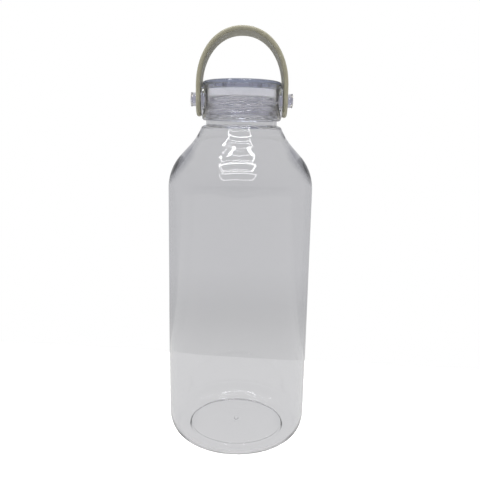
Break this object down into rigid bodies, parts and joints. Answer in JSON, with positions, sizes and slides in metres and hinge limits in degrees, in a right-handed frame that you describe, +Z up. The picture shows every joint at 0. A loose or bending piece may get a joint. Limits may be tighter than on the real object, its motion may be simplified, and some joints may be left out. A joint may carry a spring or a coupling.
{
  "type": "large water jug",
  "caption": "Large clear plastic water jug with a round shoulder, a thick clear screw lid and a beige strap handle that swings over the lid.",
  "frame": {"origin": "middle of the base, on the surface that the bottle stands on", "axes": "+Z up along the bottle; the handle swings about a line along X; the front of the picture is towards -Y"},
  "size_m": [0.11, 0.11, 0.3142],
  "materials": {
    "clear_body": "polished clear, blow moulded",
    "violet_clear": "polished clear with a faint violet tint",
    "clear_cap": "polished clear",
    "silicone": "milky translucent silicone, satin",
    "strap_plastic": "beige, fine moulded satin",
    "clear_pin": "polished clear"
  },
  "bodies": {
    "bottle": {"bottle": "clear_body"},
    "seal": {"lid_seal": "silicone"},
    "lid": {"lid_shell": "violet_clear", "lid_cap": "clear_cap", "pivot_pin_right": "clear_pin", "pivot_pin_left": "clear_pin"},
    "handle": {"handle": "strap_plastic"}
  },
  "joints": [
    {"name": "lid_rise", "type": "slide", "parent": "bottle", "child": "seal", "axis": [0, 0, 1], "range_m": [0, 0.018]},
    {"name": "lid_turn", "type": "hinge", "parent": "seal", "child": "lid", "pos_m": [0, 0, 0.262], "axis": [0, 0, 1], "range_deg": [0, 720]},
    {"name": "handle_swing", "type": "hinge", "parent": "lid", "child": "handle", "pos_m": [0, 0, 0.263], "axis": [1, 0, 0], "range_deg": [-112, 112]}
  ],
  "couplings": [
    {"joint": "lid_rise", "follows": "lid_turn", "m_per_rad": 0.0014324}
  ]
}
